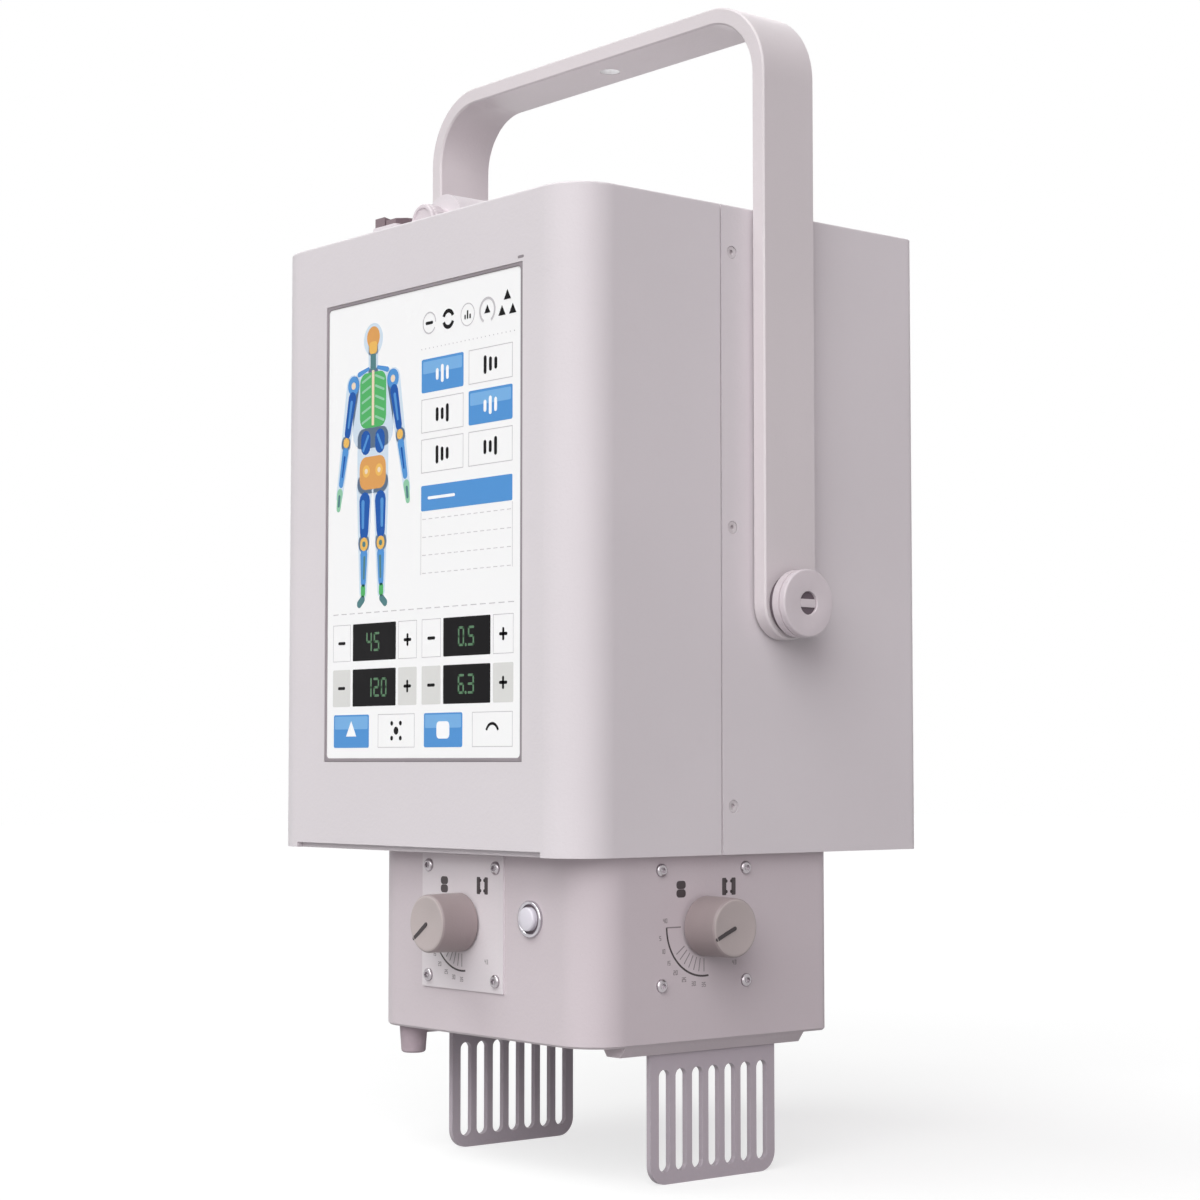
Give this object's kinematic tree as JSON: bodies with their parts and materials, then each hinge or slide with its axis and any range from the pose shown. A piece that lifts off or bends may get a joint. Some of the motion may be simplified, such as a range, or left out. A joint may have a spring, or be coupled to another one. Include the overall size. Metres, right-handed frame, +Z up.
{
  "type": "portable x-ray machine",
  "caption": "Box-shaped portable x-ray machine with a touch display, a swinging carrying handle and a beam limiter with field knobs, standing on two slotted guard plates.",
  "frame": {"origin": "on the floor under the middle of the machine's box, at the guard plates' lower edges", "axes": "+X right as seen from the display side, +Y to the rear, +Z up"},
  "size_m": [0.2846, 0.2244, 0.548],
  "materials": {
    "paint_light": "light warm grey powder coat, satin",
    "paint_box": "light warm grey powder coat, satin",
    "paint_guard": "light warm grey powder coat on thin sheet",
    "paint_handle": "light warm grey powder coat on bent strap",
    "screw_paint": "screw heads painted over",
    "screen_frame": "dark grey rim",
    "screen_glass": "smooth touch glass over a lit white panel",
    "tank_metal": "bare cast housing, inside",
    "clear_window": "clear plastic pane",
    "lead_leaf": "dark heavy metal leaves",
    "knob_plastic": "grey moulded plastic",
    "scale_plate": "printed plate, satin",
    "bright_screw": "bright steel",
    "button_chrome": "polished ring",
    "button_white": "glossy white",
    "peg_plastic": "light grey moulded plastic",
    "washer_plastic": "grey plastic washer",
    "cap_plastic": "light grey moulded plastic",
    "socket_plastic": "light grey moulded plastic",
    "dark_plastic": "dark plastic"
  },
  "bodies": {
    "housing": {"front_cover": "paint_light", "rear_cover": "paint_light", "base_plate": "paint_light", "collimator_box": "paint_box", "cover_screws": "screw_paint", "display_frame": "screen_frame", "display_glass": "screen_glass", "xray_tank": "tank_metal", "beam_window": "clear_window", "beam_leaves": "lead_leaf", "field_knobs": "knob_plastic", "front_scale_plate": "scale_plate", "panel_screws": "bright_screw", "lamp_button_ring": "button_chrome", "lamp_button": "button_white", "accessory_rails": "paint_box", "guard_plates": "paint_guard", "guard_screws": "bright_screw", "corner_peg": "peg_plastic", "pivot_washers": "washer_plastic", "pivot_caps": "cap_plastic", "pivot_studs": "bright_screw", "round_socket": "socket_plastic", "socket_hood": "socket_plastic", "switch_bezel": "socket_plastic", "switch_rockers": "dark_plastic"},
    "handle": {"handle_strap": "paint_handle"}
  },
  "joints": [
    {"name": "handle_swing", "type": "hinge", "parent": "housing", "child": "handle", "pos_m": [0, 0.0182, 0.2622], "axis": [1, 0, 0], "range_deg": [-120, 120]}
  ]
}
